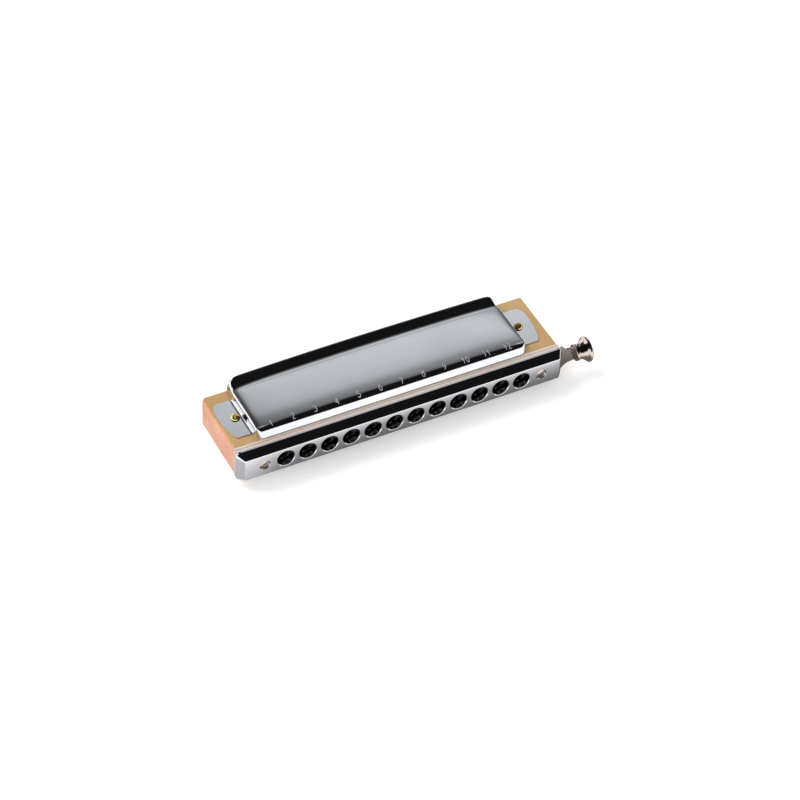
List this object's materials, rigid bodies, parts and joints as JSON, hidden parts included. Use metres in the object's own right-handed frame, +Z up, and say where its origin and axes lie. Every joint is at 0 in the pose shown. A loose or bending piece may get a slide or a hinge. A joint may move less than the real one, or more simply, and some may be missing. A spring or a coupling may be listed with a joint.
{
  "type": "chromatic harmonica",
  "caption": "Chromatic harmonica: chromed mouthpiece and covers on a wooden comb with brass reed plates, and a sprung slide worked by a trumpet-shaped button at the right end.",
  "frame": {"origin": "centre of the mouthpiece's front face, midway between the sixth and seventh holes", "axes": "+X along the body towards the button, +Y back from the player, +Z up through the upper cover"},
  "size_m": [0.1466, 0.035, 0.027],
  "materials": {
    "cover_chrome": "bright chrome plate on pressed sheet",
    "mouthpiece_chrome": "bright chrome plate on a machined bar",
    "nickel_plate": "nickel plate, satin",
    "slide_nickel": "nickel plate, warm and bright, fine brushing",
    "reed_brass": "rolled brass with fine lengthwise scratches",
    "screw_brass": "polished brass",
    "screw_nickel": "nickel plate, turned",
    "spring_steel": "drawn spring wire",
    "pearwood": "fine-grained pearwood, sealed satin",
    "sleeve_rubber": "matte",
    "valve_film": "matte translucent film"
  },
  "bodies": {
    "body": {"comb": "pearwood", "slide_back_plate": "nickel_plate", "slide_channel": "nickel_plate", "slide_spring": "spring_steel", "mouthpiece": "mouthpiece_chrome", "slide_bumper_sleeve_left": "sleeve_rubber", "slide_bumper_sleeve_right": "sleeve_rubber", "mouthpiece_screw_left": "screw_nickel", "mouthpiece_screw_right": "screw_nickel", "upper_reed_plate": "reed_brass", "upper_cover": "cover_chrome", "upper_cover_screw_left": "screw_brass", "upper_cover_screw_right": "screw_brass", "upper_reed_plate_screw_1": "screw_brass", "upper_reed_plate_screw_2": "screw_brass", "upper_reed_plate_screw_3": "screw_brass", "upper_reed_plate_screw_4": "screw_brass", "upper_reed_plate_screw_5": "screw_brass", "upper_valve_1": "valve_film", "upper_valve_2": "valve_film", "upper_valve_3": "valve_film", "upper_valve_4": "valve_film", "upper_valve_5": "valve_film", "upper_valve_6": "valve_film", "upper_valve_7": "valve_film", "upper_valve_8": "valve_film", "upper_valve_9": "valve_film", "upper_valve_10": "valve_film", "upper_valve_11": "valve_film", "upper_valve_12": "valve_film", "lower_reed_plate": "reed_brass", "lower_cover": "cover_chrome", "lower_cover_screw_left": "screw_brass", "lower_cover_screw_right": "screw_brass", "lower_reed_plate_screw_1": "screw_brass", "lower_reed_plate_screw_2": "screw_brass", "lower_reed_plate_screw_3": "screw_brass", "lower_reed_plate_screw_4": "screw_brass", "lower_reed_plate_screw_5": "screw_brass", "lower_valve_1": "valve_film", "lower_valve_2": "valve_film", "lower_valve_3": "valve_film", "lower_valve_4": "valve_film", "lower_valve_5": "valve_film", "lower_valve_6": "valve_film", "lower_valve_7": "valve_film", "lower_valve_8": "valve_film", "lower_valve_9": "valve_film", "lower_valve_10": "valve_film", "lower_valve_11": "valve_film", "lower_valve_12": "valve_film"},
    "slide": {"slide": "slide_nickel", "slide_button": "slide_nickel"}
  },
  "joints": [
    {"name": "slide_press", "type": "slide", "parent": "body", "child": "slide", "axis": [-1, 0, 0], "range_m": [0, 0.0044], "stiffness_N_per_m": 300, "springref_m": -0.006, "deforming": ["slide_spring"]}
  ]
}
